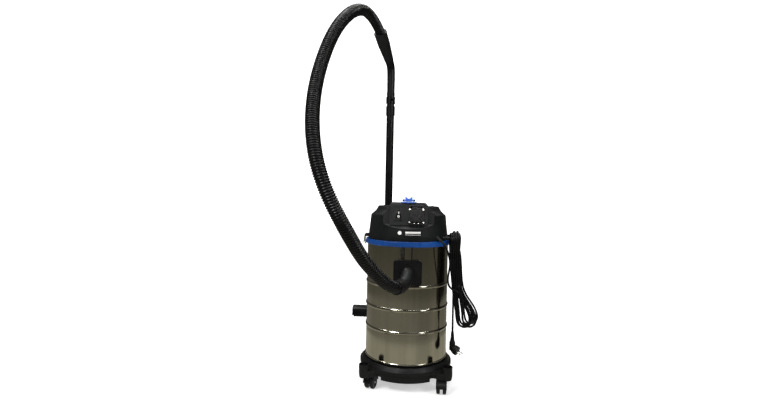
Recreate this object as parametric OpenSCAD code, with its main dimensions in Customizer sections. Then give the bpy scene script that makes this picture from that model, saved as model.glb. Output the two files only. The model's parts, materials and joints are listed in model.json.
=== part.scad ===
// Wet and dry shop vacuum: a steel tank on a castored base, a lift-off motor head held by
// two latches, a corrugated hose on a front inlet, and a wand with a floor nozzle parked
// behind the tank. The mains cord hangs as a hank on a peg at the head's right side.
// Millimetres. +Z is up, the front faces -Y, and the origin is on the floor on the tank's axis.

/* [Tank] */
// Outer radius of the steel tank
tank_r = 170; // [168:1:172]
// Thickness of the steel sheet
tank_wall = 1.2; // [1:0.1:1.5]
// Height of the tank's floor above the ground
tank_z = 106; // [105:1:107]
// How far each rolled rib stands out of the tank
rib_out = 3.5; // [3:0.1:3.8]

/* [Base] */
// Radius of the round base tray
base_r = 192; // [190:1:194]
// Distance of each caster from the centre planes
caster_at = 143; // [142:1:143]
// Distance of each accessory socket from the centre planes
socket_at = 162; // [162:1:163]
// Bore radius of the accessory sockets, for 35 mm tools
socket_bore_r = 17.6; // [17.4:0.1:17.8]
// Radius of the caster wheels
wheel_r = 25; // [24:1:25]

/* [Head] */
// Top of the coloured rim band, where the head sits
band_top = 590; // [589:1:591]
// Outer radius of the rim band
band_r = 178; // [177:1:179]
// Radius of the head at its foot
head_r = 166.5; // [166:0.5:167]
// Height of the head's upper deck
deck_top = 727; // [726:1:728]
// Wall thickness of the moulded covers
wall = 3; // [2.5:0.5:3]
// Lean of the control panel from vertical
panel_lean = 25; // [24:1:26]

/* [Hose and wand] */
// Outer radius of the corrugated hose
hose_r = 22; // [21:0.5:22]
// Outer radius of the wand tubes
wand_r = 18; // [18:0.5:18]
// Width of the floor nozzle
nozzle_w = 320; // [300:10:330]

/* [Cord] */
// Radius of the mains cord
cord_r = 4; // [3.5:0.5:4]

/* [Hidden] */
$fn = 96;
// Radial play of pins, trunnions and stems that turn in bores
play = 0.05;

// Tank
tank_top = band_top - 10;
rib_half = 7;
rib_z = [232, 320, 413];
rib_arc_r = (rib_half * rib_half + rib_out * rib_out) / (2 * rib_out);
rib_arc_a = asin(rib_half / rib_arc_r);
bead_r = 3.5;
inlet_z = 476;
inlet_bore_r = 21;

// Base
skirt_z = 45;
rim_z = 72;
tray_z = 84;
tray_wall = 4;
caster_clear_z = 57;
socket_top = 108;
socket_floor = 62;
stem_r = 5.5;
stem_top = 84;

// Head
band_foot = band_top - 21;
ledge_r = 163;
deck_z = 598;
flange_foot = band_top + 2;
flange_top = band_top + 20;
shoulder_r = 158.5;
shoulder_z = 686;
panel_half = 77;
panel_len = 89.4;
panel_foot = [-141, 650];
panel_head = panel_foot + panel_len * [sin(panel_lean), cos(panel_lean)];
ridge_top = deck_top + 14;
recess_half = 102;
cage_foot = 466;
intake_r = 20;

// Panel fittings, placed along the panel: across from the centre, up from its foot
switch_at = [-40, 46];
outlet_at = [31, 41];
outlet_size = [62, 72];
outlet_recess_r = 21.6;
outlet_screw_at = [
    [-27, -28], [27, -28], [-27, 28], [27, 28], [-8, -32], [8, -32]
];
lid_hinge = [outlet_at[0], 80, 11];

// Filter cleaning lever
lever_y = -84;
lever_z = ridge_top + 10;

// Latches, drawn at the right side
latch_pivot = [178, 601];
bail_pivot = [183.6, 588];
bail_foot = [180.2, 565];

// Cord peg and gland
peg = [-85, 600];
gland_a = -45.5;
gland_root = [160 * cos(gland_a), 160 * sin(gland_a), 605];

// Wand and nozzle
wand_at = [-94, 212];
nozzle_pivot = [216, 222];
nozzle_half = nozzle_w / 2;
joint_z = 660;
grip_z = 1150;

// Casters: place, and heading of the trailing wheels
caster_fl = [-caster_at, -caster_at, 160];
caster_fr = [caster_at, -caster_at, -6];
caster_rl = [-caster_at, caster_at, 195];
caster_rr = [caster_at, caster_at, 172];
caster_trail = 16;

// Routes, as control points of a smooth curve that starts and ends on its end points
elbow_route = [
    [0, -195, 476], [0, -211, 475], [-2, -226, 468], [-6, -243, 455],
    [-13, -259, 445], [-22, -275, 440], [-29, -290, 439]
];
hose_route = [
    [-41, -318, 441], [-71, -387, 463], [-105, -449, 511], [-140, -516, 563], [-166, -582, 624],
    [-197, -632, 692], [-236, -656, 771], [-269, -650, 860], [-288, -620, 954], [-296, -574, 1047],
    [-294, -522, 1138], [-279, -476, 1231], [-255, -430, 1320], [-220, -366, 1395],
    [-200, -272, 1446], [-198, -170, 1487], [-193, -74, 1525], [-166, 16, 1529], [-138, 94, 1491]
];
grip_route = [
    [-94, 212, 1255], [-94, 212, 1300], [-94, 212, 1344], [-95, 209, 1366],
    [-98, 202, 1387], [-103, 188, 1400]
];
// The tapered cuff runs from the grip's bend to its mouth, where the hose goes in at an angle
cuff_foot = grip_route[5];
cuff_mouth = [-142, 84, 1495];
lead_route = [
    [132, -135, 592], [142, -145, 583], [153, -149, 562], [163, -147, 536],
    [168, -141, 508], [166, -132, 480], [161, -124, 455], [160, -118, 431],
    [165, -112, 409], [178, -107, 396], [196, -103, 392]
];
plug_route = [
    [192, -88, 428], [188, -90, 400], [187, -92, 360], [187, -94, 300], [187, -95, 226]
];
// The angled plug: its hub hangs below the cord, and its face looks along plug_dir
plug_hub = [187, -95, 160];
plug_dir = [0.8, -0.45, -0.4];

// ---------- Curves and swept tubes ----------
function arc_pts(cx, cy, r, a0, a1, n) =
    [for (i = [0:n]) [cx + r * cos(a0 + (a1 - a0) * i / n), cy + r * sin(a0 + (a1 - a0) * i / n)]];

function with_ends(p) =
    concat([2 * p[0] - p[1]], p, [2 * p[len(p) - 1] - p[len(p) - 2]]);

function spline_at(q, i, t) =
    (pow(1 - t, 3) * q[i] + (3 * pow(t, 3) - 6 * t * t + 4) * q[i + 1]
    + (-3 * pow(t, 3) + 3 * t * t + 3 * t + 1) * q[i + 2] + pow(t, 3) * q[i + 3]) / 6;

function smooth_route(p, n) =
    let (q = with_ends(p))
    concat([for (i = [0:len(q) - 4]) for (k = [0:n - 1]) spline_at(q, i, k / n)], [p[len(p) - 1]]);

function unit(v) = v / norm(v);

function heading_at(p, i) =
    unit(p[min(i + 1, len(p) - 1)] - p[max(i - 1, 0)]);

function ring_at(p, i, r, sides, ref) =
    let (t = heading_at(p, i), u = unit(cross(t, ref)), v = cross(u, t))
    [for (k = [0:sides - 1]) p[i] + r * (u * cos(360 * k / sides) + v * sin(360 * k / sides))];

// Triangles between ring a and ring b of one skin
function skin(a, b, sides, flip) =
    [for (k = [0:sides - 1]) let (m = (k + 1) % sides)
        each (flip ? [[a + k, b + k, b + m], [a + k, b + m, a + m]]
            : [[a + k, b + m, b + k], [a + k, a + m, b + m]])];

module tube(path, r, sides, ref) {
    n = len(path);
    points = [for (i = [0:n - 1]) each ring_at(path, i, r, sides, ref)];
    walls = [for (i = [0:n - 2]) each skin(i * sides, (i + 1) * sides, sides, false)];
    foot = [for (k = [0:sides - 1]) sides - 1 - k];
    cap = [for (k = [0:sides - 1]) (n - 1) * sides + k];
    polyhedron(points, concat([foot], [cap], walls), convexity = 10);
}

// The radius runs evenly from r0 to r1 along the path
module pipe(path, r0, r1, thick, sides, ref) {
    n = len(path);
    radii = [for (i = [0:n - 1]) r0 + (r1 - r0) * i / (n - 1)];
    outer = [for (i = [0:n - 1]) each ring_at(path, i, radii[i], sides, ref)];
    inner = [for (i = [0:n - 1]) each ring_at(path, i, radii[i] - thick, sides, ref)];
    half = n * sides;
    last = (n - 1) * sides;
    walls = [for (i = [0:n - 2]) each skin(i * sides, (i + 1) * sides, sides, false)];
    bore = [for (i = [0:n - 2]) each skin(half + i * sides, half + (i + 1) * sides, sides, true)];
    foot = skin(0, half, sides, true);
    cap = skin(last, half + last, sides, false);
    polyhedron(concat(outer, inner), concat(walls, bore, foot, cap), convexity = 10);
}

// Turns the children's Z axis to run from one point towards another
module along(from, to) {
    d = to - from;
    translate(from)
        rotate([0, acos(d[2] / norm(d)), atan2(d[1], d[0])])
            children();
}

module at_panel(place, out = 0) {
    translate([0, panel_foot[0], panel_foot[1]])
        rotate([90 - panel_lean, 0, 0])
            translate([place[0], place[1], out])
                children();
}

module ring(outer, inner, z0, z1) {
    rotate_extrude()
        translate([inner, z0])
            square([outer - inner, z1 - z0]);
}

module rounded_plate(size, r, h) {
    linear_extrude(h)
        offset(r = r, $fn = 32)
            square([size[0] - 2 * r, size[1] - 2 * r], center = true);
}

module each_corner(d) {
    for (sx = [-1, 1])
        for (sy = [-1, 1])
            translate([sx * d, sy * d, 0])
                children();
}

// ---------- Base ----------
module base_outline(grow) {
    offset(r = -14, $fn = 48)
        offset(r = 14, $fn = 48)
            union() {
                circle(r = base_r + grow, $fn = 120);
                each_corner(caster_at)
                    circle(r = 34 + grow, $fn = 48);
            }
}

module base_tray() {
    color([0.20, 0.20, 0.21])
        difference() {
            union() {
                translate([0, 0, skirt_z])
                    linear_extrude(rim_z - skirt_z)
                        base_outline(-5);
                translate([0, 0, rim_z])
                    linear_extrude(tray_z - rim_z)
                        base_outline(0);
                rotate_extrude()
                    polygon([
                        [0, tray_z - 1], [base_r - 4, tray_z - 1], [base_r - 4, tray_z],
                        [tank_r + 9, 98], [tank_r + 6, 100], [tank_r + 4, 100],
                        [tank_r + 4, 96], [tank_r - 4, 96], [tank_r - 4, tank_z], [0, tank_z]
                    ]);
                each_corner(socket_at)
                    rotate_extrude()
                        polygon([
                            [0, caster_clear_z], [17.5, caster_clear_z], [19.8, 66],
                            [20.5, 76], [20.5, socket_top], [0, socket_top]
                        ]);
            }
            translate([0, 0, skirt_z - 1])
                linear_extrude(rim_z - skirt_z + 1)
                    base_outline(-5 - tray_wall);
            translate([0, 0, rim_z - 1])
                cylinder(r = 158, h = tray_z - rim_z + 1);
            translate([0, 0, tray_z - 2])
                cylinder(r = 150, h = tank_z - tray_z - 4);
            each_corner(caster_at)
                translate([0, 0, skirt_z - 1])
                    cylinder(r = 50, h = caster_clear_z - skirt_z + 1);
            each_corner(socket_at)
                translate([0, 0, socket_floor])
                    cylinder(r = socket_bore_r, h = socket_top - socket_floor + 1);
            each_corner(caster_at)
                translate([0, 0, skirt_z])
                    cylinder(r = stem_r, h = 40);
        }
    color([0.20, 0.20, 0.21])
        each_corner(caster_at)
            ring(9, stem_r, caster_clear_z, rim_z);
}

// ---------- Casters ----------
module at_caster(c) {
    translate([c[0], c[1], 0])
        rotate([0, 0, c[2]])
            children();
}

module axle_line(from, to) {
    translate([from, -caster_trail, wheel_r])
        rotate([0, 90, 0])
            linear_extrude(to - from)
                children();
}

module caster_hood(c) {
    color([0.24, 0.25, 0.25])
        at_caster(c)
            difference() {
                union() {
                    intersection() {
                        axle_line(-21, 21)
                            difference() {
                                circle(r = wheel_r + 4.2);
                                circle(r = wheel_r + 1.5);
                            }
                        translate([-25, -70, wheel_r + 3])
                            cube([50, 100, 40]);
                    }
                    axle_line(-4, 4)
                        circle(r = 8);
                    translate([-4, -caster_trail - 8, wheel_r])
                        cube([8, caster_trail + 17, 27]);
                    translate([0, 0, wheel_r + 25.5])
                        cylinder(r = 9, h = caster_clear_z - wheel_r - 25.6);
                    translate([0, 0, wheel_r + 25.5])
                        cylinder(r = stem_r - play, h = stem_top - wheel_r - 25.5);
                }
                axle_line(-5, 5)
                    circle(r = 3);
            }
}

module caster_axle(c) {
    color("silver")
        at_caster(c)
            axle_line(-19, 19)
                circle(r = 3);
}

module caster_wheels(c) {
    color([0.16, 0.16, 0.17])
        at_caster(c)
            translate([0, -caster_trail, wheel_r])
                rotate([0, 90, 0])
                    for (side = [0, 1])
                        mirror([0, 0, side])
                            rotate_extrude()
                                polygon([
                                    [3 + play, 5.5], [wheel_r - 2, 5.5], [wheel_r, 7.5],
                                    [wheel_r, 16], [wheel_r - 3, 19], [14, 20],
                                    [12, 18], [3 + play, 18]
                                ]);
}

// ---------- Tank ----------
function tank_side(r, z0, z1, inset) =
    concat(
        [[r - 1, z0]],
        arc_pts(tank_r - 0.5, tank_z + bead_r, bead_r - inset, -60, 75, 8),
        [for (z = rib_z)
            each arc_pts(tank_r + rib_out - rib_arc_r, z, rib_arc_r - inset, -rib_arc_a, rib_arc_a, 8)],
        [[r, z1]]
    );

module tank_shell() {
    color([0.68, 0.66, 0.60])
        difference() {
            rotate_extrude()
                polygon(concat([[0, tank_z]], tank_side(tank_r, tank_z, tank_top, 0), [[0, tank_top]]));
            rotate_extrude()
                polygon(concat(
                    [[0, tank_z + tank_wall]],
                    tank_side(tank_r - tank_wall, tank_z + tank_wall, tank_top + 1, tank_wall),
                    [[0, tank_top + 1]]
                ));
            translate([0, -tank_r + 20, inlet_z])
                rotate([90, 0, 0])
                    cylinder(r = 24, h = 40);
        }
}

module rim_band() {
    color([0.16, 0.38, 0.66])
        rotate_extrude()
            polygon(concat(
                [[tank_r, band_foot]],
                arc_pts(band_r - 6, band_foot + 6, 6, -90, 0, 6),
                arc_pts(band_r - 5, band_top - 5, 5, 0, 90, 6),
                [[ledge_r, band_top], [ledge_r, tank_top], [tank_r, tank_top]]
            ));
}

// ---------- Inlet ----------
module inlet_outline(grow) {
    translate([0, 0, inlet_z - 4])
        rotate([90, 0, 0])
            rounded_plate([110 + grow, 96 + grow], 11, 200);
}

module tank_band(r0, r1) {
    ring(r1, r0, inlet_z - 90, inlet_z + 110);
}

module inlet_strap() {
    color([0.55, 0.55, 0.53])
        intersection() {
            tank_band(tank_r, tank_r + 3);
            translate([-18, -200, inlet_z + 44])
                cube([36, 80, band_foot - inlet_z - 44]);
        }
}

module inlet_box() {
    color([0.22, 0.23, 0.23])
        difference() {
            union() {
                intersection() {
                    inlet_outline(0);
                    translate([-80, -tank_r - 14, inlet_z - 80])
                        cube([160, 80, 160]);
                }
                intersection() {
                    inlet_outline(-12);
                    translate([-80, -tank_r - 18, inlet_z - 80])
                        cube([160, 80, 160]);
                }
                translate([0, -tank_r - 14, inlet_z])
                    rotate([90, 0, 0])
                        cylinder(r = 33, h = 8);
            }
            cylinder(r = tank_r + 1.5, h = 700);
            translate([0, -tank_r + 20, inlet_z])
                rotate([90, 0, 0])
                    cylinder(r = inlet_bore_r, h = 60);
            translate([-40, -tank_r - 30, inlet_z - 60])
                cube([80, 12, 38]);
        }
}

module inlet_gasket() {
    color([0.10, 0.10, 0.10])
        difference() {
            intersection() {
                inlet_outline(-4);
                tank_band(tank_r, tank_r + 1.5);
                translate([-80, -200, inlet_z - 80])
                    cube([160, 100, 160]);
            }
            translate([0, -tank_r + 20, inlet_z])
                rotate([90, 0, 0])
                    cylinder(r = 24, h = 60);
        }
}

module inlet_deflector() {
    color([0.22, 0.23, 0.23])
        difference() {
            translate([0, -122, inlet_z])
                rotate([90, 0, 0])
                    cylinder(r = 27, h = 50);
            translate([0, -125, inlet_z])
                rotate([90, 0, 0])
                    cylinder(r = 24.5, h = 60);
            translate([-40, -164, inlet_z - 60])
                cube([80, 39, 48]);
            difference() {
                cylinder(r = tank_r + 40, h = 700);
                translate([0, 0, -1])
                    cylinder(r = tank_r - tank_wall, h = 702);
            }
        }
}

module inlet_elbow() {
    color([0.25, 0.26, 0.26]) {
        pipe(smooth_route(elbow_route, 3), 23, 26, 4, 20, [1, 0, 0.2]);
        translate([0, -162, inlet_z])
            rotate([90, 0, 0])
                difference() {
                    union() {
                        cylinder(r = inlet_bore_r, h = 32);
                        translate([0, 0, 30.4])
                            cylinder(r = 27, h = 8);
                    }
                    translate([0, 0, -1])
                        cylinder(r = inlet_bore_r - 2.5, h = 60);
                }
    }
}

// ---------- Hose ----------
module hose_cuff_lower() {
    color([0.12, 0.12, 0.12])
        along(elbow_route[len(elbow_route) - 1], hose_route[0])
            difference() {
                cylinder(r1 = 26.5, r2 = 25.5, h = norm(hose_route[0] - elbow_route[6]));
                translate([0, 0, -1])
                    cylinder(r = 20, h = 80);
            }
}

module hose() {
    color([0.10, 0.10, 0.11])
        pipe(smooth_route(hose_route, 3), hose_r, hose_r, 3, 12, [1, 0, 0]);
}

module hose_cuff_upper() {
    line = smooth_route(hose_route, 3);
    end = line[len(line) - 1];
    back = line[len(line) - 2];
    long = norm(cuff_mouth - cuff_foot);
    color([0.12, 0.12, 0.12])
        difference() {
            along(cuff_foot, cuff_mouth)
                difference() {
                    rotate_extrude()
                        polygon([
                            [0, 0], [20.5, 0], [28, long - 56], [28.5, long - 7],
                            [29.5, long - 6], [29.5, long], [0, long]
                        ]);
                    translate([0, 0, -1])
                        cylinder(r = 16.5, h = long + 2);
                }
            along(end, back)
                cylinder(r = hose_r + 0.1, h = 60);
        }
}

// ---------- Wand ----------
module wand_pipe(r, bore, z0, z1) {
    translate([wand_at[0], wand_at[1], 0])
        ring(r, bore, z0, z1);
}

module grip_tube() {
    color([0.13, 0.13, 0.14])
        difference() {
            union() {
                pipe(smooth_route(grip_route, 3), wand_r, 19.5, 3, 20, [1, 0, 0]);
                wand_pipe(wand_r + 3, wand_r + play, grip_z, grip_z + 34);
                wand_pipe(wand_r + 3, wand_r - 1.5, grip_z + 34, grip_z + 42);
                wand_pipe(wand_r, wand_r - 3, grip_z + 42, grip_z + 92);
                wand_pipe(wand_r + 1, wand_r - 3.5, grip_z + 92, grip_route[0][2] + 1);
                wand_pipe(wand_r + 1, wand_r - 2, grip_z + 169, grip_z + 173);
            }
            translate([wand_at[0], wand_at[1], grip_z + 71])
                rotate([90, 0, 20])
                    cylinder(r = 5, h = 40);
        }
}

module air_regulator() {
    color([0.18, 0.18, 0.19])
        difference() {
            wand_pipe(wand_r + 3.5, wand_r + play, grip_z + 56, grip_z + 86);
            for (turn = [20, 90])
                translate([wand_at[0], wand_at[1], grip_z + 71])
                    rotate([90, 0, turn])
                        cylinder(r = 6, h = 40);
        }
}

module wand_upper() {
    color([0.13, 0.13, 0.14])
        wand_pipe(wand_r, wand_r - 1.5, joint_z + 4, grip_z + 34);
}

module wand_lower() {
    color([0.13, 0.13, 0.14]) {
        wand_pipe(wand_r, wand_r - 1.5, 298, joint_z);
        wand_pipe(wand_r + 2.5, wand_r - 1.5, joint_z - 6, joint_z + 4);
        wand_pipe(wand_r + 2.5, wand_r + play, joint_z + 4, joint_z + 48);
    }
}

module nozzle_neck() {
    color([0.13, 0.13, 0.14])
        difference() {
            union() {
                wand_pipe(wand_r - 1.5, 0, nozzle_pivot[1], 330);
                wand_pipe(21.5, 0, 292, 298);
                translate([wand_at[0] - 27, nozzle_pivot[0], nozzle_pivot[1]])
                    rotate([0, 90, 0])
                        cylinder(r = 17, h = 54);
                translate([wand_at[0] - 40, nozzle_pivot[0], nozzle_pivot[1]])
                    rotate([0, 90, 0])
                        cylinder(r = 8, h = 80);
            }
            translate([wand_at[0], wand_at[1], 190])
                cylinder(r = 13, h = 150);
        }
}

module park_bracket() {
    color([0.20, 0.20, 0.21])
        difference() {
            union() {
                translate([wand_at[0] - 26, 120, 268])
                    cube([52, 70, 32]);
                for (side = [-1, 1])
                    translate([wand_at[0] + side * 21.75 - 4.25, 188, 278])
                        cube([8.5, 38, 14]);
            }
            cylinder(r = tank_r, h = 400);
            translate([wand_at[0], wand_at[1], 260])
                cylinder(r = 23.5, h = 18);
            translate([wand_at[0], wand_at[1], 292])
                cylinder(r = 23.5, h = 20);
            translate([wand_at[0], wand_at[1], 260])
                cylinder(r = 17.5, h = 60);
        }
}

// ---------- Floor nozzle ----------
module nozzle_bar(points, half) {
    translate([wand_at[0] - half, 0, 0])
        rotate([90, 0, 90])
            linear_extrude(2 * half)
                polygon(points);
}

module nozzle_body() {
    color([0.12, 0.12, 0.13])
        difference() {
            nozzle_bar([
                [188, 202], [188, 216], [194, 232], [204, 240],
                [240, 240], [256, 230], [260, 218], [260, 202]
            ], nozzle_half);
            nozzle_bar([[206, 201], [206, 216], [236, 216], [236, 201]], nozzle_half - 14);
            nozzle_bar([[193, 201], [193, 207], [200, 207], [200, 201]], nozzle_half - 6);
            nozzle_bar([[247, 201], [247, 207], [254, 207], [254, 201]], nozzle_half - 6);
            nozzle_bar([[194.5, 208], [194.5, 260], [270, 260], [270, 190], [206, 190], [206, 208]], 28);
            translate([wand_at[0] - 40.5, nozzle_pivot[0], nozzle_pivot[1]])
                rotate([0, 90, 0])
                    cylinder(r = 8 + play, h = 81);
        }
}

module nozzle_brushes() {
    color([0.05, 0.05, 0.05]) {
        nozzle_bar([[193, 195], [193, 207], [200, 207], [200, 195]], nozzle_half - 6);
        for (side = [-1, 1])
            translate([wand_at[0] + side * 91 - 63, 247, 195])
                cube([126, 7, 12]);
    }
}

// ---------- Head ----------
module head_base() {
    color([0.20, 0.21, 0.21])
        difference() {
            union() {
                rotate_extrude()
                    polygon([
                        [intake_r, deck_z - 2], [156, deck_z - 2], [156, 576], [161, 576],
                        [161, flange_foot], [head_r, flange_foot], [head_r, flange_top],
                        [161, flange_top], [161, deck_z + 4], [intake_r, deck_z + 4]
                    ]);
                for (sx = [-1, 1])
                    for (sy = [-1, 1])
                        translate([sx * 103, sy * 38, deck_z + 2])
                            cylinder(r = 6, h = deck_top - wall - deck_z - 2);
                for (sx = [-1, 1])
                    for (sy = [-1, 1])
                        scale([sx, 1, 1])
                            latch_ear(sy);
                translate([140, peg[0], peg[1]])
                    rotate([0, 90, 0])
                        cylinder(r = 7.5, h = 72);
                translate([209, peg[0], peg[1]])
                    rotate([0, 90, 0])
                        cylinder(r = 9.5, h = 5);
            }
            for (sx = [-1, 1])
                translate([sx * latch_pivot[0], 30, latch_pivot[1]])
                    rotate([90, 0, 0])
                        cylinder(r = 2 + play, h = 60);
            for (sx = [-1, 1])
                for (sy = [-1, 1])
                    translate([sx * 103, sy * 38, deck_top - 25])
                        cylinder(r = 2, h = 30);
        }
}

module latch_ear(side) {
    translate([0, side * 16.6 + 2, 0])
        rotate([90, 0, 0])
            linear_extrude(4) {
                translate(latch_pivot)
                    circle(r = 6);
                translate([160, latch_pivot[1] - 6])
                    square([latch_pivot[0] - 160, 12]);
            }
}

function cover_profile(g) = concat(
    [[0, flange_top - g * 2], [head_r - g, flange_top - g * 2], [head_r - g, flange_top]],
    arc_pts(shoulder_r - 9, shoulder_z, 9 - g, 5, 62, 5),
    [[138 - g, 708 - g], [129 - g, deck_top - 3 - g], [126 - g, deck_top - g], [0, deck_top - g]]
);

module ridge(g) {
    intersection() {
        translate([-100, 0, 0])
            rotate([90, 0, 90])
                linear_extrude(200)
                    polygon([
                        [panel_foot[0] + g * 1.1, panel_foot[1] - g * 2],
                        [panel_head[0] + g * 1.1, panel_head[1]],
                        [panel_head[0] + 9 + g, ridge_top - g],
                        [100 - g, ridge_top - g], [113 - g, deck_top - g], [113 - g, 640]
                    ]);
        translate([0, 160, 0])
            rotate([90, 0, 0])
                linear_extrude(330)
                    polygon([
                        [-panel_half + g, 600], [panel_half - g, 600], [panel_half - g, ridge_top - 9],
                        [panel_half - 7 - g / 2, ridge_top - g], [7 - panel_half + g / 2, ridge_top - g],
                        [-panel_half + g, ridge_top - 9]
                    ]);
    }
}

// The recess in front of the panel, between a sloping shelf and a leaning back wall
module front_recess(g) {
    translate([-recess_half - g, 0, 0])
        rotate([90, 0, 90])
            linear_extrude(2 * (recess_half + g))
                polygon([
                    [-190, 625 - g], [-127 + g, 657 - g], [-95 + g, deck_top + 20],
                    [-190, deck_top + 20]
                ]);
}

module cover_solid(g) {
    difference() {
        rotate_extrude()
            polygon(cover_profile(g));
        front_recess(g);
    }
    ridge(g);
}

module head_cover() {
    color([0.27, 0.29, 0.29])
        difference() {
            cover_solid(0);
            difference() {
                cover_solid(wall);
                translate([0, 0, 500])
                    cylinder(r = 300, h = 60);
            }
            translate([0, 0, 500])
                cylinder(r = 300, h = flange_top - 500);
            at_panel(switch_at, -20)
                translate([-14, -19, 0])
                    cube([28, 38, 30]);
            at_panel(outlet_at, -20)
                cylinder(r = 24, h = 30);
            for (p = outlet_screw_at)
                at_panel(outlet_at + p, -20)
                    cylinder(r = 1.7, h = 30);
            for (sx = [-1, 1])
                for (sy = [-1, 1])
                    translate([sx * 103, sy * 38, deck_top - 10])
                        cylinder(r = 2.2, h = 20);
            for (i = [-6:6])
                rotate([0, 0, 90 + i * 5])
                    translate([130, -2.5, 626])
                        cube([50, 5, 46]);
        }
}

module head_seal() {
    color([0.08, 0.08, 0.08])
        ring(166, 161.3, band_top, flange_foot);
}

module motor_body() {
    color([0.35, 0.36, 0.38])
        difference() {
            union() {
                translate([0, 0, deck_z + 4])
                    cylinder(r = 70, h = 38);
                translate([0, 0, deck_z + 42])
                    cylinder(r = 52, h = 64);
            }
            translate([0, 0, deck_z])
                cylinder(r = 24, h = 20);
            translate([0, 0, deck_z + 8])
                cylinder(r = 64, h = 30);
            translate([0, 0, deck_z + 46])
                cylinder(r = 46, h = 54);
            translate([0, 0, deck_z])
                cylinder(r = 6 + play, h = 120);
        }
}

module motor_shaft() {
    color("silver") {
        translate([0, 0, 610])
            cylinder(r = 6, h = 96);
        translate([0, 0, 656])
            cylinder(r = 30, h = 32);
    }
}

module motor_fan() {
    color([0.75, 0.75, 0.76])
        difference() {
            union() {
                translate([0, 0, 612])
                    cylinder(r = 59, h = 2);
                translate([0, 0, 612])
                    cylinder(r = 13, h = 18);
                for (i = [0:8])
                    rotate([0, 0, i * 40])
                        translate([12, -1, 612])
                            cube([46, 2, 18]);
            }
            translate([0, 0, 600])
                cylinder(r = 6, h = 40);
        }
}

module cover_screws() {
    color("silver")
        for (sx = [-1, 1])
            for (sy = [-1, 1])
                translate([sx * 103, sy * 38, 0]) {
                    translate([0, 0, deck_top])
                        cylinder(r = 4, h = 2.4);
                    translate([0, 0, deck_top - 20])
                        cylinder(r = 2, h = 21);
                }
}

// ---------- Filter ----------
module filter_cage() {
    color([0.85, 0.85, 0.83])
        difference() {
            translate([0, 0, cage_foot])
                cylinder(r = 62, h = deck_z - 2 - cage_foot);
            translate([0, 0, cage_foot + 4])
                cylinder(r = 59, h = 200);
            for (i = [0:5])
                rotate([0, 0, i * 30])
                    translate([-70, -10, cage_foot + 14])
                        cube([140, 20, 92]);
        }
}

module filter_cartridge() {
    pleats = 48;
    color([0.90, 0.88, 0.80]) {
        translate([0, 0, cage_foot + 6])
            linear_extrude(deck_z - cage_foot - 16)
                difference() {
                    polygon([for (i = [0:2 * pleats - 1])
                        (i % 2 == 0 ? 100 : 86) * [cos(180 * i / pleats), sin(180 * i / pleats)]]);
                    polygon([for (i = [0:2 * pleats - 1])
                        (i % 2 == 0 ? 97 : 82) * [cos(180 * i / pleats), sin(180 * i / pleats)]]);
                }
        ring(104, 63, cage_foot, cage_foot + 6);
        ring(104, 63, deck_z - 10, deck_z - 2);
    }
}

module float_ball() {
    color([0.90, 0.90, 0.88])
        translate([0, 0, cage_foot + 4 + 24.3])
            sphere(r = 24);
}

// ---------- Control panel ----------
module control_panel() {
    color([0.17, 0.18, 0.18])
        difference() {
            at_panel([0, panel_len / 2], 0)
                rounded_plate([148, panel_len - 4], 4, 2.5);
            at_panel(switch_at, -2)
                translate([-14, -19, 0])
                    cube([28, 38, 8]);
            at_panel(outlet_at, -2)
                cylinder(r = 24, h = 8);
            for (p = outlet_screw_at)
                at_panel(outlet_at + p, -2)
                    cylinder(r = 1.7, h = 8);
        }
}

module switch_bezel() {
    color([0.08, 0.08, 0.08])
        at_panel(switch_at, 0)
            difference() {
                union() {
                    translate([0, 0, 2.5])
                        rounded_plate([36, 46], 3, 3.5);
                    translate([-13.8, -18.8, -16])
                        cube([27.6, 37.6, 20]);
                }
                translate([-11.6, -16.6, -13])
                    cube([23.2, 33.2, 30]);
                translate([-16, 0, 1])
                    rotate([0, 90, 0])
                        cylinder(r = 2 + play, h = 32);
            }
}

module switch_rocker() {
    color([0.14, 0.14, 0.14])
        at_panel(switch_at, 1) {
            translate([-11.2, 0, 0])
                rotate([90, 0, 90])
                    linear_extrude(22.4)
                        polygon([
                            [-14.6, 4], [-14.6, 9], [0, 5.5], [14.6, 5.5], [14.6, 1], [4, -6], [-4, -6]
                        ]);
            translate([-13.6, 0, 0])
                rotate([0, 90, 0])
                    cylinder(r = 2, h = 27.2);
        }
}

module outlet_body() {
    color([0.10, 0.10, 0.11])
        at_panel(outlet_at, 0)
            difference() {
                union() {
                    translate([0, 0, 2.5])
                        rounded_plate(outlet_size, 5, 4.5);
                    translate([0, 0, -14])
                        cylinder(r = 23.5, h = 18);
                    for (side = [-1, 1])
                        translate([side * 20 - 3, lid_hinge[1] - outlet_at[1], lid_hinge[2]])
                            rotate([0, 90, 0])
                                linear_extrude(6) {
                                    circle(r = 3.8);
                                    translate([0, -3.8])
                                        square([6, 7.6]);
                                }
                    translate([-23, 32, 2.5])
                        cube([46, 11, 4]);
                }
                translate([0, 0, -10])
                    cylinder(r = outlet_recess_r, h = 30);
                for (side = [-1, 1])
                    translate([side * 9.5, 0, -20])
                        cylinder(r = 2.6, h = 20);
                for (p = outlet_screw_at)
                    translate([p[0], p[1], 0])
                        cylinder(r = 1.7, h = 12);
                translate([-30, lid_hinge[1] - outlet_at[1], lid_hinge[2]])
                    rotate([0, 90, 0])
                        cylinder(r = 1.5 + play, h = 60);
                translate([-16.6, 28, 7])
                    cube([33.2, 20, 12]);
            }
}

module outlet_screws() {
    color("silver")
        for (i = [0:5])
            at_panel(outlet_at + outlet_screw_at[i], 0) {
                translate([0, 0, 7])
                    cylinder(r = i < 4 ? 3.4 : 2.4, h = 1.8);
                translate([0, 0, -6])
                    cylinder(r = 1.5, h = 14);
            }
}

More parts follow.
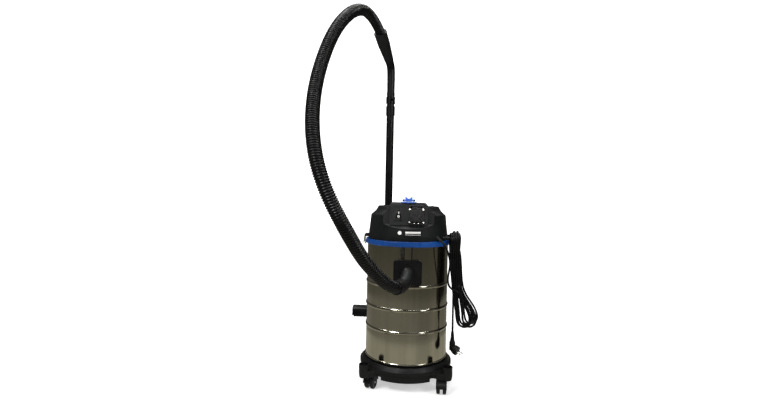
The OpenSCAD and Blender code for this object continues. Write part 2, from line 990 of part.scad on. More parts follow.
module outlet_lid() {
    color([0.07, 0.07, 0.08])
        at_panel([lid_hinge[0], lid_hinge[1]], lid_hinge[2]) {
            translate([0, -37, -3.6])
                rounded_plate([46, 60], 8, 6.6);
            translate([-16, 0, 0])
                rotate([0, 90, 0])
                    cylinder(r = 3.6, h = 32);
            translate([-16, -9, -3.6])
                cube([32, 9, 6]);
            translate([-22.5, 0, 0])
                rotate([0, 90, 0])
                    cylinder(r = 1.5, h = 45);
        }
}

// ---------- Filter cleaning lever ----------
module lever_mount() {
    color([0.45, 0.52, 0.80])
        difference() {
            union() {
                translate([0, lever_y, ridge_top])
                    rounded_plate([64, 30], 12, 4);
                for (side = [-1, 1])
                    translate([side * 19 - 2, lever_y, lever_z])
                        rotate([0, 90, 0])
                            linear_extrude(4) {
                                circle(r = 5.4);
                                translate([0, -5.4])
                                    square([8, 10.8]);
                            }
            }
            translate([-40, lever_y, lever_z])
                rotate([0, 90, 0])
                    cylinder(r = 3, h = 80);
        }
}

module lever_pin() {
    color([0.06, 0.07, 0.09]) {
        translate([-26, lever_y, lever_z])
            rotate([0, 90, 0])
                cylinder(r = 3, h = 52);
        for (side = [-1, 1])
            translate([side * 23.75 - 2.5, lever_y, lever_z])
                rotate([0, 90, 0])
                    cylinder(r = 4.6, h = 5);
    }
}

module cleaning_lever() {
    color([0.42, 0.50, 0.82])
        difference() {
            union() {
                translate([-15, lever_y, lever_z])
                    rotate([0, 90, 0])
                        cylinder(r = 5.4, h = 30);
                translate([-15, lever_y - 5.4, lever_z])
                    cube([30, 10.8, 15]);
            }
            translate([0, lever_y + 10, lever_z + 19])
                rotate([90, 0, 0])
                    cylinder(r = 11, h = 20);
            translate([-20, lever_y, lever_z])
                rotate([0, 90, 0])
                    cylinder(r = 3 + play, h = 40);
        }
}

// ---------- Latches ----------
module latch_bar(y0, y1, place, r) {
    translate([place[0], y1, place[1]])
        rotate([90, 0, 0])
            cylinder(r = r, h = y1 - y0);
}

module latch_lever() {
    color([0.62, 0.64, 0.66])
        difference() {
            union() {
                latch_bar(-14, 14, latch_pivot, 5);
                latch_bar(-18.4, 18.4, latch_pivot, 2);
                latch_bar(-14, 14, bail_pivot, 3.4);
                translate([0, 14, 0])
                    rotate([90, 0, 0])
                        linear_extrude(28)
                            polygon([
                                [180, 604], [183.5, 603], [185.5, 596], [187, 580],
                                [189.5, 569], [187.6, 568.2], [184.6, 579], [182.2, 590], [180, 597]
                            ]);
            }
            latch_bar(-15, -9.5, bail_pivot, 1.6 + play);
            latch_bar(9.5, 15, bail_pivot, 1.6 + play);
        }
}

module latch_bail() {
    leg = 16.8;
    color("silver") {
        for (side = [-1, 1]) {
            latch_bar(side > 0 ? 10 : -leg - 1.6, side > 0 ? leg + 1.6 : -10, bail_pivot, 1.6);
            along([bail_pivot[0], side * leg, bail_pivot[1]], [bail_foot[0], side * leg, bail_foot[1]])
                cylinder(r = 1.5, h = norm(bail_pivot - bail_foot));
        }
        latch_bar(-leg - 1.6, leg + 1.6, bail_foot, 1.6);
    }
}

// ---------- Cord ----------
module cord_gland() {
    color([0.07, 0.07, 0.07])
        difference() {
            along(gland_root, lead_route[0]) {
                cylinder(r1 = 7.5, r2 = 5, h = norm(lead_route[0] - gland_root));
                cylinder(r = 8.5, h = 9);
            }
            cylinder(r = head_r, h = 900);
        }
}

module cord_lead() {
    color([0.07, 0.07, 0.08])
        tube(smooth_route(lead_route, 2), cord_r, 8, [0, 1, 0.2]);
}

module cord_hank() {
    color([0.07, 0.07, 0.08])
        difference() {
            translate([0, -59, 0])
                rotate([90, 0, 0])
                    linear_extrude(52) {
                        hull() {
                            translate([185, 607])
                                circle(r = 24, $fn = 32);
                            translate([195, 540])
                                circle(r = 24, $fn = 32);
                            translate([203, 430])
                                circle(r = 25, $fn = 32);
                        }
                        hull() {
                            translate([203, 430])
                                circle(r = 25, $fn = 32);
                            translate([235, 268])
                                circle(r = 34, $fn = 32);
                            translate([261, 268])
                                circle(r = 34, $fn = 32);
                        }
                    }
            translate([130, peg[0], peg[1]])
                rotate([0, 90, 0])
                    cylinder(r = 10.5, h = 90);
            difference() {
                cylinder(r = band_r + 1.5, h = 591);
                translate([0, 0, -1])
                    cylinder(r = 120, h = 593);
            }
        }
}

module plug_lead() {
    color([0.07, 0.07, 0.08])
        tube(smooth_route(plug_route, 4), cord_r, 8, [1, 0, 0]);
}

module plug_body() {
    face = plug_hub + 27 * unit(plug_dir);
    root = plug_hub + 2 * unit(plug_dir);
    color([0.06, 0.06, 0.07])
        difference() {
            union() {
                translate([plug_hub[0], plug_hub[1], 192])
                    cylinder(r1 = 8, r2 = 5, h = 34);
                translate([plug_hub[0], plug_hub[1], plug_hub[2] - 8])
                    cylinder(r = 12, h = 30);
                translate([plug_hub[0], plug_hub[1], plug_hub[2] + 22])
                    cylinder(r1 = 12, r2 = 8, h = 10);
                along(root, face)
                    cylinder(r1 = 15, r2 = 18.5, h = 12);
                along(root, face)
                    translate([0, 0, 12])
                        cylinder(r = 18.5, h = 13);
            }
            along(root, face)
                for (side = [-1, 1])
                    translate([0, side * 9.5, 15])
                        cylinder(r = 2.4, h = 20);
        }
}

module plug_pins() {
    face = plug_hub + 27 * unit(plug_dir);
    root = plug_hub + 2 * unit(plug_dir);
    color("silver")
        along(root, face)
            for (side = [-1, 1])
                translate([0, side * 9.5, 15])
                    cylinder(r = 2.4, h = 29);
}

base_tray();
tank_shell();
rim_band();
inlet_strap();
inlet_box();
inlet_gasket();
inlet_deflector();
inlet_elbow();
hose_cuff_lower();
hose();
hose_cuff_upper();
grip_tube();
wand_upper();
wand_lower();
nozzle_neck();
park_bracket();
air_regulator();
nozzle_body();
nozzle_brushes();
head_base();
head_cover();
head_seal();
motor_body();
control_panel();
switch_bezel();
outlet_body();
outlet_screws();
lever_mount();
lever_pin();
filter_cage();
filter_cartridge();
cover_screws();
cord_gland();
cord_lead();
cord_hank();
plug_lead();
plug_body();
plug_pins();
motor_shaft();
motor_fan();
switch_rocker();
outlet_lid();
cleaning_lever();
float_ball();
mirror([1, 0, 0]) latch_lever();  // latch_lever_left
mirror([1, 0, 0]) latch_bail();  // latch_bail_left
latch_lever();  // latch_lever_right
latch_bail();  // latch_bail_right
caster_hood(caster_fl);  // caster_hood_fl
caster_axle(caster_fl);  // caster_axle_fl
caster_wheels(caster_fl);  // caster_wheels_fl
caster_hood(caster_fr);  // caster_hood_fr
caster_axle(caster_fr);  // caster_axle_fr
caster_wheels(caster_fr);  // caster_wheels_fr
caster_hood(caster_rl);  // caster_hood_rl
caster_axle(caster_rl);  // caster_axle_rl
caster_wheels(caster_rl);  // caster_wheels_rl
caster_hood(caster_rr);  // caster_hood_rr
caster_axle(caster_rr);  // caster_axle_rr
caster_wheels(caster_rr);  // caster_wheels_rr
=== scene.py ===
import json
import math

import bmesh
import bpy
from mathutils import Matrix, Vector
from mathutils.bvhtree import BVHTree


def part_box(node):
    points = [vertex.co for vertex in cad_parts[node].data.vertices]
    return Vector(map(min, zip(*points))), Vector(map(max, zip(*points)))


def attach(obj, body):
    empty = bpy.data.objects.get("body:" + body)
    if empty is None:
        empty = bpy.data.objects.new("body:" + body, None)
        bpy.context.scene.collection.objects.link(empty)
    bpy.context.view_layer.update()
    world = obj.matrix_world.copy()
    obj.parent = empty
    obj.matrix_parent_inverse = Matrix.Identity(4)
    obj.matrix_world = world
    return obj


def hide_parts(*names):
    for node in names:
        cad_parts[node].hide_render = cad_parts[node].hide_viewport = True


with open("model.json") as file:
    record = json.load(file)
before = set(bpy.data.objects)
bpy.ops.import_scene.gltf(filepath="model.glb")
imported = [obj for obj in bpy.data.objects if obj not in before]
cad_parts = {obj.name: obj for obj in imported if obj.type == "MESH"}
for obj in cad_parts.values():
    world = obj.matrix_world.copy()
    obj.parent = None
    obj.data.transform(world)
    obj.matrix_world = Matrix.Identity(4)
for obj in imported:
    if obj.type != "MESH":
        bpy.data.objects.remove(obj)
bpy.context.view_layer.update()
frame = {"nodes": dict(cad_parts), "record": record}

scene = bpy.context.scene
scene.view_settings.view_transform = "Standard"
MM = 0.001


# ---------- Camera ----------
def level_camera(place, lens, pitch_down, roll, turn_left):
    data = bpy.data.cameras.new("camera")
    data.lens = lens
    data.sensor_width = 36
    data.clip_start = 0.05
    data.clip_end = 60
    camera = bpy.data.objects.new("camera", data)
    scene.collection.objects.link(camera)
    heading = Matrix.Rotation(math.radians(turn_left), 4, "Z")
    tilt = Matrix.Rotation(math.radians(90 - pitch_down), 4, "X")
    lean = Matrix.Rotation(math.radians(roll), 4, "Z")
    camera.matrix_world = Matrix.Translation(place) @ heading @ tilt @ lean
    scene.camera = camera


level_camera(place=(-0.015, -1.878, 0.7635), lens=20.32, pitch_down=0.4, roll=1.2, turn_left=1.98)


# ---------- Routes: the same control points as the CAD source, in millimetres ----------
HOSE_ROUTE = [
    (-41, -318, 441), (-71, -387, 463), (-105, -449, 511), (-140, -516, 563), (-166, -582, 624),
    (-197, -632, 692), (-236, -656, 771), (-269, -650, 860), (-288, -620, 954), (-296, -574, 1047),
    (-294, -522, 1138), (-279, -476, 1231), (-255, -430, 1320), (-220, -366, 1395),
    (-200, -272, 1446), (-198, -170, 1487), (-193, -74, 1525), (-166, 16, 1529), (-138, 94, 1491),
]
LEAD_ROUTE = [
    (132, -135, 592), (142, -145, 583), (153, -149, 562), (163, -147, 536),
    (168, -141, 508), (166, -132, 480), (161, -124, 455), (160, -118, 431),
    (165, -112, 409), (178, -107, 396), (196, -103, 392),
]
PLUG_ROUTE = [
    (192, -88, 428), (188, -90, 400), (187, -92, 360), (187, -94, 300), (187, -95, 226),
]


def metres(points):
    return [Vector(p) * MM for p in points]


def smooth_route(points, steps):
    """A uniform cubic B-spline that starts and ends on its end points."""
    p = [Vector(q) for q in points]
    q = [2 * p[0] - p[1], *p, 2 * p[-1] - p[-2]]
    out = []
    for i in range(len(q) - 3):
        for k in range(steps):
            t = k / steps
            weights = (
                (1 - t) ** 3,
                3 * t**3 - 6 * t * t + 4,
                -3 * t**3 + 3 * t * t + 3 * t + 1,
                t**3,
            )
            out.append(sum((w * q[i + j] for j, w in enumerate(weights)), Vector()) / 6)
    return [*out, p[-1]]


def length_of(points):
    return sum((b - a).length for a, b in zip(points, points[1:]))


def evenly(points, spacing):
    """The same line with points at an even spacing."""
    total = length_of(points)
    count = max(2, round(total / spacing))
    out = [points[0]]
    travelled = 0.0
    target = total / count
    for a, b in zip(points, points[1:]):
        step = (b - a).length
        while step > 0 and travelled + step >= target - 1e-9 and len(out) < count:
            out.append(a.lerp(b, (target - travelled) / step))
            target += total / count
        travelled += step
    return [*out, points[-1]]


def relaxed(points, rounds):
    """The same line with its sharper bends eased; the ends stay."""
    line = list(points)
    for _ in range(rounds):
        inner = [(a + 2 * b + c) / 4 for a, b, c in zip(line, line[1:], line[2:])]
        line = [line[0], *inner, line[-1]]
    return line


def frames_along(points):
    """A heading and two sideways directions at each point, turned as little as possible."""
    heads = []
    for i in range(len(points)):
        a = points[max(i - 1, 0)]
        b = points[min(i + 1, len(points) - 1)]
        heads.append((b - a).normalized())
    side = heads[0].orthogonal().normalized()
    out = []
    for head in heads:
        side = (side - head * side.dot(head)).normalized()
        out.append((head, side, head.cross(side)))
    return out


# ---------- Meshes ----------
def add_piece(name, mesh, body, slot, material, *replaced):
    piece = bpy.data.objects.new(name, mesh)
    scene.collection.objects.link(piece)
    if material is not None:
        mesh.materials.append(material)
    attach(piece, body)
    if replaced:
        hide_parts(*replaced)
    return piece


def mesh_of(name, vertices, faces, smooth=True):
    mesh = bpy.data.meshes.new(name)
    mesh.from_pydata([tuple(v) for v in vertices], [], faces)
    mesh.validate()
    mesh.polygons.foreach_set("use_smooth", [smooth] * len(mesh.polygons))
    mesh.update()
    return mesh


def loft(name, rings, closed=False, caps=True):
    """A skin over rings of points that all hold the same number; closed joins last to first."""
    sides = len(rings[0])
    vertices = [v for ring in rings for v in ring]
    faces = []
    last = len(rings) if closed else len(rings) - 1
    for i in range(last):
        a = i * sides
        b = (i + 1) % len(rings) * sides
        for k in range(sides):
            m = (k + 1) % sides
            faces.append((a + k, a + m, b + m, b + k))
    if caps and not closed:
        faces.append(tuple(reversed(range(sides))))
        faces.append(tuple((len(rings) - 1) * sides + k for k in range(sides)))
    return mesh_of(name, vertices, faces)


def circle_points(centre, u, v, radius, sides):
    return [
        centre + (u * math.cos(2 * math.pi * k / sides) + v * math.sin(2 * math.pi * k / sides)) * radius
        for k in range(sides)
    ]


# ---------- Cords ----------
def eased(share):
    """0 to 1 with a slow start and a slow end."""
    return share * share * (3 - 2 * share)


def rib_pitch(travelled):
    """The ribs stand further apart where the hose is drawn out near the tank."""
    drawn_out = 12.6
    relaxed_pitch = 7.8
    change_starts = 160 * MM
    change_length = 330 * MM
    share = min(max((travelled - change_starts) / change_length, 0), 1)
    return (drawn_out + (relaxed_pitch - drawn_out) * eased(share)) * MM


def corrugated_hose():
    """A spiral-ribbed hose: round ribs with deep grooves between them."""
    outer = 22 * MM
    groove = 3.4 * MM
    sides = 32
    centre = evenly(smooth_route(metres(HOSE_ROUTE), 40), 0.85 * MM)
    spacing = length_of(centre) / (len(centre) - 1)
    rings = []
    turns = 0.0
    for i, (_, side, up) in enumerate(frames_along(centre)):
        ring = []
        for k in range(sides):
            angle = 2 * math.pi * k / sides
            wave = abs(math.sin(math.pi * turns + angle / 2))
            radius = outer - groove * (1 - wave) ** 0.9
            ring.append(centre[i] + (side * math.cos(angle) + up * math.sin(angle)) * radius)
        rings.append(ring)
        turns += spacing / rib_pitch(i * spacing)
    return loft("hose_corrugated", rings), centre


hose_mesh, hose_path = corrugated_hose()
hose = add_piece("hose_corrugated", hose_mesh, "tank_unit", "hose_plastic", None, "hose")

CORD_D = 8
PEG_Y = -85
PEG_TOP = 624
ROW_SPACING = 8.3
FRONT_Y = -97
BACK_Y = -74


def bundle_centre(z):
    """Where the middle of the hank hangs at height z."""
    return 194 + (540 - z) * 0.075


def slot_x(slot, z):
    return bundle_centre(z) + (slot - 2.5) * ROW_SPACING


def top_turn(x_from, x_to, layer):
    """Over the peg, from the back row to the front row."""
    arch = 33
    points = []
    for k in range(7):
        angle = math.pi * k / 6
        share = k / 6
        points.append((
            x_from + (x_to - x_from) * share,
            PEG_Y + arch * math.cos(angle),
            PEG_TOP + layer - arch + arch * math.sin(angle),
        ))
    return points


def bottom_turn(left, right, foot):
    """A hanging loop's foot, from the front row at its left to the back row at its right."""
    radius = (right - left) / 2
    middle = (left + right) / 2
    points = []
    for k in range(9):
        angle = math.pi * k / 8
        share = k / 8
        points.append((
            middle - radius * math.cos(angle),
            FRONT_Y + (BACK_Y - FRONT_Y) * share,
            foot + radius - radius * math.sin(angle),
        ))
    return points


def run(x_top, x_slot, x_foot, y, z_foot, down):
    """One run of the hank between the peg and a loop's foot."""
    points = [(x_top, PEG_Y + (y - PEG_Y) * 2.2, 570)]
    for z in (545, 515, 480, 445, 410):
        points.append((slot_x(x_slot, z), y, z))
    gap = 410 - z_foot
    for share in (0.25, 0.5, 0.75):
        ease = eased(share)
        points.append((slot_x(x_slot, 410) * (1 - ease) + x_foot * ease, y, 410 - gap * share))
    return points if down else points[::-1]


def hank_points():
    lefts = [222, 202, 207, 213, 227, 234]
    rights = [282, 260, 267, 273, 287, 292]
    feet = [251, 241, 238, 246, 240, 254]
    layers = [0, 1, 8, 2, 8, 0]
    points = [(213, -101, 388), (223, -99, 374), (226, -98, 350), (226, FRONT_Y, 320), (226, FRONT_Y, 295)]
    for k in range(6):
        points += bottom_turn(lefts[k], rights[k], feet[k])
        top_from = 172 + 6.5 * k
        top_to = 175.5 + 6.5 * k
        points += run(top_from, k, rights[k], BACK_Y, feet[k] + 30, down=False)
        points += top_turn(top_from, top_to, layers[k])
        if k < 5:
            points += run(top_to, k, lefts[k + 1], FRONT_Y, feet[k + 1] + 30, down=True)
    points += [(206, -104, 570), (207, -97, 540), (205, -89, 505), (199, -86, 470), (194, -86, 445)]
    return points


def power_cord():
    """A round sheath along the lead, the hank and the plug's run."""
    spacing = 5 * MM
    sides = 14
    whole = smooth_route(metres(LEAD_ROUTE + hank_points() + PLUG_ROUTE), 8)
    centre = evenly(relaxed(evenly(whole, spacing), 14), spacing)
    rings = []
    for point, (_, side, up) in zip(centre, frames_along(centre)):
        rings.append(circle_points(point, side, up, CORD_D / 2 * MM, sides))
    return loft("power_cord", rings), centre


cord_mesh, cord_path = power_cord()
cord = add_piece("power_cord", cord_mesh, "head", "cord_pvc", None, "cord_lead", "cord_hank", "plug_lead")


# ---------- Materials ----------
def new_material(name):
    material = bpy.data.materials.new(name)
    material.use_nodes = True
    tree = material.node_tree
    return material, tree.nodes, tree.links, tree.nodes["Principled BSDF"]


def noise(nodes, links, scale, detail=3.0, stretch=(1, 1, 1)):
    place = nodes.new("ShaderNodeTexCoord")
    mapping = nodes.new("ShaderNodeMapping")
    mapping.inputs["Scale"].default_value = stretch
    texture = nodes.new("ShaderNodeTexNoise")
    texture.inputs["Scale"].default_value = scale
    texture.inputs["Detail"].default_value = detail
    links.new(place.outputs["Object"], mapping.inputs["Vector"])
    links.new(mapping.outputs["Vector"], texture.inputs["Vector"])
    return texture.outputs["Fac"]


def spread(nodes, links, value, low, high, from_low=0.35, from_high=0.65):
    """Maps a noise value to a range."""
    node = nodes.new("ShaderNodeMapRange")
    node.inputs["From Min"].default_value = from_low
    node.inputs["From Max"].default_value = from_high
    node.inputs["To Min"].default_value = low
    node.inputs["To Max"].default_value = high
    links.new(value, node.inputs["Value"])
    return node.outputs["Result"]


def blend_colours(nodes, links, factor, first, second):
    node = nodes.new("ShaderNodeMix")
    node.data_type = "RGBA"
    links.new(factor, node.inputs[0])
    for place, colour in ((6, first), (7, second)):
        if isinstance(colour, tuple):
            node.inputs[place].default_value = (*colour, 1)
        else:
            links.new(colour, node.inputs[place])
    return node.outputs[2]


def shade(colour, factor):
    return tuple(min(1.0, c * factor) for c in colour)


def mottled(nodes, links, pattern, colour, dark, light):
    """The colour, varied by a pattern between a darker and a lighter shade of itself."""
    amount = spread(nodes, links, pattern, 0, 1)
    return blend_colours(nodes, links, amount, shade(colour, dark), shade(colour, light))


def bump(nodes, links, height, depth, strength=1.0, below=None):
    node = nodes.new("ShaderNodeBump")
    node.inputs["Distance"].default_value = depth
    node.inputs["Strength"].default_value = strength
    links.new(height, node.inputs["Height"])
    if below is not None:
        links.new(below, node.inputs["Normal"])
    return node.outputs["Normal"]


def moulded(name, colour, roughness, grain=900.0, depth=0.00012, dust=0.12, specular=0.17):
    """Moulded plastic: spark-eroded grain, uneven gloss, and a little pale dust."""
    material, nodes, links, shader = new_material(name)
    tint = mottled(nodes, links, noise(nodes, links, 9.0, 4.0), colour, 0.82, 1.2)
    specks = spread(nodes, links, noise(nodes, links, 420.0, 5.0), 0, dust, 0.6, 0.85)
    pale = tuple(c * 0.6 + 0.12 for c in colour)
    links.new(blend_colours(nodes, links, specks, tint, pale), shader.inputs["Base Color"])
    gloss = noise(nodes, links, 26.0, 3.0)
    links.new(spread(nodes, links, gloss, roughness - 0.07, roughness + 0.07), shader.inputs["Roughness"])
    links.new(bump(nodes, links, noise(nodes, links, grain, 2.0), depth), shader.inputs["Normal"])
    shader.inputs["Specular IOR Level"].default_value = specular
    return material


def sheet_steel(name, colour, roughness):
    """Bright rolled sheet: upright dark streaks of painted reflection, faint lines round the tank, slow waves
    and finger marks.
    """
    material, nodes, links, shader = new_material(name)
    even = mottled(nodes, links, noise(nodes, links, 5.0, 3.0), colour, 0.93, 1.05)
    # Upright dark streaks in the base colour: painted reflection, standing in for the bands a mirror-bright
    # tank picks up from its surroundings.
    painted_reflection_streaks = spread(nodes, links, noise(nodes, links, 16.0, 3.0, (1, 1, 0.04)), 0, 0.32, 0.42, 0.62)
    links.new(blend_colours(nodes, links, painted_reflection_streaks, even, shade(colour, 0.3)), shader.inputs["Base Color"])
    lines = noise(nodes, links, 30.0, 3.0, (1, 1, 40))
    smears = noise(nodes, links, 14.0, 4.0)
    rolled = spread(nodes, links, lines, roughness * 0.75, roughness * 1.25)
    smeared = spread(nodes, links, smears, 0.0, 0.05, 0.55, 0.8)
    total = nodes.new("ShaderNodeMath")
    links.new(rolled, total.inputs[0])
    links.new(smeared, total.inputs[1])
    links.new(total.outputs[0], shader.inputs["Roughness"])
    waves = bump(nodes, links, noise(nodes, links, 7.0, 1.0, (1, 1, 0.5)), 0.0006, 0.5)
    links.new(bump(nodes, links, lines, 0.00002, 0.4, waves), shader.inputs["Normal"])
    shader.inputs["Metallic"].default_value = 1.0
    return material


def plated(name, colour, roughness):
    """Bright plate with fine pits and a slightly uneven polish."""
    material, nodes, links, shader = new_material(name)
    cloud = noise(nodes, links, 60.0, 4.0)
    links.new(mottled(nodes, links, cloud, colour, 0.85, 1.08), shader.inputs["Base Color"])
    links.new(spread(nodes, links, cloud, roughness * 0.6, roughness * 1.5), shader.inputs["Roughness"])
    links.new(bump(nodes, links, noise(nodes, links, 500.0, 2.0), 0.00004, 0.5), shader.inputs["Normal"])
    shader.inputs["Metallic"].default_value = 1.0
    return material


def fibrous(name, colour, roughness):
    """Paper or bristle: fine upright fibres and mottled colour."""
    material, nodes, links, shader = new_material(name)
    fibres = noise(nodes, links, 260.0, 4.0, (1, 1, 0.15))
    links.new(mottled(nodes, links, fibres, colour, 0.75, 1.15), shader.inputs["Base Color"])
    links.new(bump(nodes, links, fibres, 0.0003, 0.6), shader.inputs["Normal"])
    shader.inputs["Roughness"].default_value = roughness
    return material


MATERIALS = {
    "base_plastic": moulded("base_plastic", (0.006, 0.006, 0.0062), 0.42),
    "tank_steel": sheet_steel("tank_steel", (0.47, 0.45, 0.37), 0.13),
    "blue_plastic": moulded(
        "blue_plastic", (0.004, 0.044, 0.195), 0.32, grain=700.0, depth=0.00006, dust=0.08
    ),
    "moulded_plastic": moulded("moulded_plastic", (0.0055, 0.006, 0.006), 0.42),
    "rubber": moulded("rubber", (0.010, 0.010, 0.010), 0.7),
    "soft_black": moulded("soft_black", (0.006, 0.006, 0.006), 0.5),
    "hose_plastic": moulded(
        "hose_plastic", (0.0025, 0.0025, 0.0027), 0.28, grain=600.0, depth=0.00004, dust=0.05, specular=0.26
    ),
    "wand_plastic": moulded(
        "wand_plastic", (0.003, 0.003, 0.0033), 0.34, grain=700.0, depth=0.00008, dust=0.06
    ),
    "brush_fibre": fibrous("brush_fibre", (0.010, 0.010, 0.010), 0.7),
    "head_plastic": moulded("head_plastic", (0.006, 0.0072, 0.0070), 0.44),
    "motor_metal": plated("motor_metal", (0.55, 0.55, 0.57), 0.4),
    "panel_plastic": moulded("panel_plastic", (0.0065, 0.0075, 0.0078), 0.46),
    "gloss_black": moulded(
        "gloss_black", (0.004, 0.004, 0.0045), 0.25, grain=600.0, depth=0.00003, dust=0.05
    ),
    "plated_steel": plated("plated_steel", (0.72, 0.72, 0.70), 0.18),
    "lever_plastic": moulded(
        "lever_plastic", (0.065, 0.16, 0.56), 0.36, grain=700.0, depth=0.00006, dust=0.08
    ),
    "white_plastic": moulded("white_plastic", (0.75, 0.75, 0.72), 0.4, grain=700.0, depth=0.00006, dust=0.1),
    "filter_paper": fibrous("filter_paper", (0.72, 0.68, 0.56), 0.85),
    "cord_pvc": moulded("cord_pvc", (0.003, 0.003, 0.0033), 0.36, grain=500.0, depth=0.00004, dust=0.05),
    "wheel_rubber": moulded("wheel_rubber", (0.010, 0.010, 0.0105), 0.48),
}
hose.data.materials.append(MATERIALS["hose_plastic"])
cord.data.materials.append(MATERIALS["cord_pvc"])

# Radius of the rounded edges on the moulded pieces, in millimetres
EDGES = {
    "head_cover": 1.6, "base_tray": 1.2, "inlet_box": 1.2, "control_panel": 0.8,
    "outlet_lid": 1.2, "lever_mount": 0.8, "cleaning_lever": 1.2,
    "nozzle_body": 2.0, "nozzle_neck": 0.8, "park_bracket": 1.0, "head_base": 0.8,
    "switch_rocker": 0.6, "latch_lever_left": 0.7, "latch_lever_right": 0.7,
}


def rounded_mesh(node, width):
    """The CAD shape with flat faces joined and its edges rounded."""
    mesh = frame["nodes"][node].data.copy()
    shape = bmesh.new()
    shape.from_mesh(mesh)
    bmesh.ops.remove_doubles(shape, verts=shape.verts, dist=1e-6)
    bmesh.ops.dissolve_limit(
        shape, angle_limit=math.radians(0.6), verts=shape.verts, edges=shape.edges
    )
    shape.to_mesh(mesh)
    shape.free()
    mesh.polygons.foreach_set("use_smooth", [True] * len(mesh.polygons))
    holder = bpy.data.objects.new("holder", mesh)
    scene.collection.objects.link(holder)
    bevel = holder.modifiers.new("edges", "BEVEL")
    bevel.width = width * MM
    bevel.segments = 2
    bevel.limit_method = "ANGLE"
    bevel.angle_limit = math.radians(28)
    bevel.harden_normals = True
    even = holder.modifiers.new("even", "WEIGHTED_NORMAL")
    even.keep_sharp = True
    result = bpy.data.meshes.new_from_object(holder.evaluated_get(bpy.context.evaluated_depsgraph_get()))
    bpy.data.objects.remove(holder)
    result.name = node + "_finished"
    return result


slot_of = {s["node"]: s["material_slot"] for s in frame["record"]["subparts"]}
body_of = {n: b for b, nodes in frame["record"]["behaviour"]["bodies"].items() for n in nodes}
for node, thing in frame["nodes"].items():
    material = MATERIALS[slot_of[node]]
    if node in EDGES:
        mesh = rounded_mesh(node, EDGES[node])
        mesh.materials.clear()
        add_piece(node + "_finished", mesh, body_of[node], slot_of[node], material, node)
    else:
        for place in thing.material_slots:
            place.material = material


# ---------- Strap ----------
def painted_strap_edge_shade():
    """The folded edges of the steel strap between the inlet box and the ring, as dark strips: painted shade.
    """
    low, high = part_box("inlet_strap")
    outer = -low[1] + 0.5 * MM
    inner = outer - 2.0 * MM
    width = 5 * MM
    vertices = []
    faces = []
    for side in (-1, 1):
        edge = low[0] if side < 0 else high[0]
        across = (edge - side * 0.3 * MM, edge - side * width)
        base = len(vertices)
        for z in (low[2] + 1 * MM, high[2] - 1 * MM):
            for radius, x in ((outer, across[0]), (outer, across[1]), (inner, across[1]), (inner, across[0])):
                vertices.append((x, -math.sqrt(radius**2 - x**2), z))
        for k in range(4):
            m = (k + 1) % 4
            faces.append((base + k, base + m, base + 4 + m, base + 4 + k))
        faces.append((base + 3, base + 2, base + 1, base))
        faces.append((base + 4, base + 5, base + 6, base + 7))
    return mesh_of("painted_strap_edge_shade", vertices, faces, smooth=False)


# Black strips along the strap's two edges stand for the shade at its folds: painted shade.
add_piece("painted_strap_edge_shade", painted_strap_edge_shade(), body_of["inlet_strap"], "soft_black", MATERIALS["soft_black"])


# ---------- Printed marks ----------
def surface_of(*nodes):
    shape = bmesh.new()
    for node in nodes:
        shape.from_mesh(frame["nodes"][node].data)
    tree = BVHTree.FromBMesh(shape)
    shape.free()
    return tree


def printed_patch(tree, place, outline_at, rows, columns):
    """Points of a thin printed patch laid on a surface; outline_at gives x and z in the patch."""
    outer = []
    inner = []
    for i in range(rows + 1):
        for j in range(columns + 1):
            x, z = outline_at(i / rows, j / columns)
            start = Vector((place[0] + x, -1.0, place[1] + z))
            hit, normal, _, _ = tree.ray_cast(start, Vector((0, 1, 0)))
            assert hit is not None, (place, x, z)
            if normal.y > 0:
                normal = -normal
            outer.append(hit + normal * 0.15 * MM)
            inner.append(hit - normal * 0.2 * MM)
    return outer, inner


def closed_patch(count, rows, columns, base):
    """Faces of the patch, its back and its four edges."""
    wide = columns + 1
    faces = []
    for i in range(rows):
        for j in range(columns):
            a = base + i * wide + j
            faces.append((a, a + 1, a + wide + 1, a + wide))
            faces.append((a + count, a + wide + count, a + wide + 1 + count, a + 1 + count))
    edge = list(range(wide))
    edge += [i * wide + columns for i in range(1, rows + 1)]
    edge += [rows * wide + j for j in range(columns - 1, -1, -1)]
    edge += [i * wide for i in range(rows - 1, 0, -1)]
    for a, b in zip(edge, edge[1:] + edge[:1]):
        faces.append((base + a, base + a + count, base + b + count, base + b))
    return faces


def printed_marks(name, tree, patches, body, slot):
    vertices = []
    faces = []
    for place, outline_at, rows, columns in patches:
        outer, inner = printed_patch(tree, place, outline_at, rows, columns)
        faces += closed_patch(len(outer), rows, columns, len(vertices))
        vertices += outer + inner
    mesh = mesh_of(name, vertices, faces, smooth=False)
    return add_piece(name, mesh, body, slot, MATERIALS[slot])


def bar(width, height):
    return lambda v, u: ((u - 0.5) * width * MM, (v - 0.5) * height * MM)


def ring_mark(inner, outer):
    return lambda v, u: (
        math.cos(2 * math.pi * u) * (inner + (outer - inner) * v) * MM,
        math.sin(2 * math.pi * u) * (inner + (outer - inner) * v) * MM,
    )


MARK_Z = 0.624
printed_marks(
    "front_mark",
    surface_of("head_cover"),
    [
        ((-0.034, MARK_Z), ring_mark(0.2, 7.5), 2, 24),
        ((0.018, MARK_Z + 0.002), bar(60, 7), 1, 12),
        ((0.018, MARK_Z - 0.007), bar(60, 1.5), 1, 12),
    ],
    "head",
    "white_plastic",
)
rocker_low, rocker_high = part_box("switch_rocker")
rocker_x = (rocker_low[0] + rocker_high[0]) / 2
rocker_z = (rocker_low[2] + rocker_high[2]) / 2
printed_marks(
    "switch_marks",
    surface_of("switch_rocker"),
    [
        ((rocker_x, rocker_z + 0.0068), bar(3.0, 8.0), 2, 1),
        ((rocker_x, rocker_z - 0.0068), ring_mark(2.4, 4.4), 1, 20),
    ],
    body_of["switch_rocker"],
    "white_plastic",
)


# ---------- Stage and light ----------
PALE = (0.94, 0.94, 0.94)
LAMP_ANGLES = (-128, -106, -88, -67, -52, -34, -21, -6, 11, 24, 43, 58, 77, 96, 118, 137)


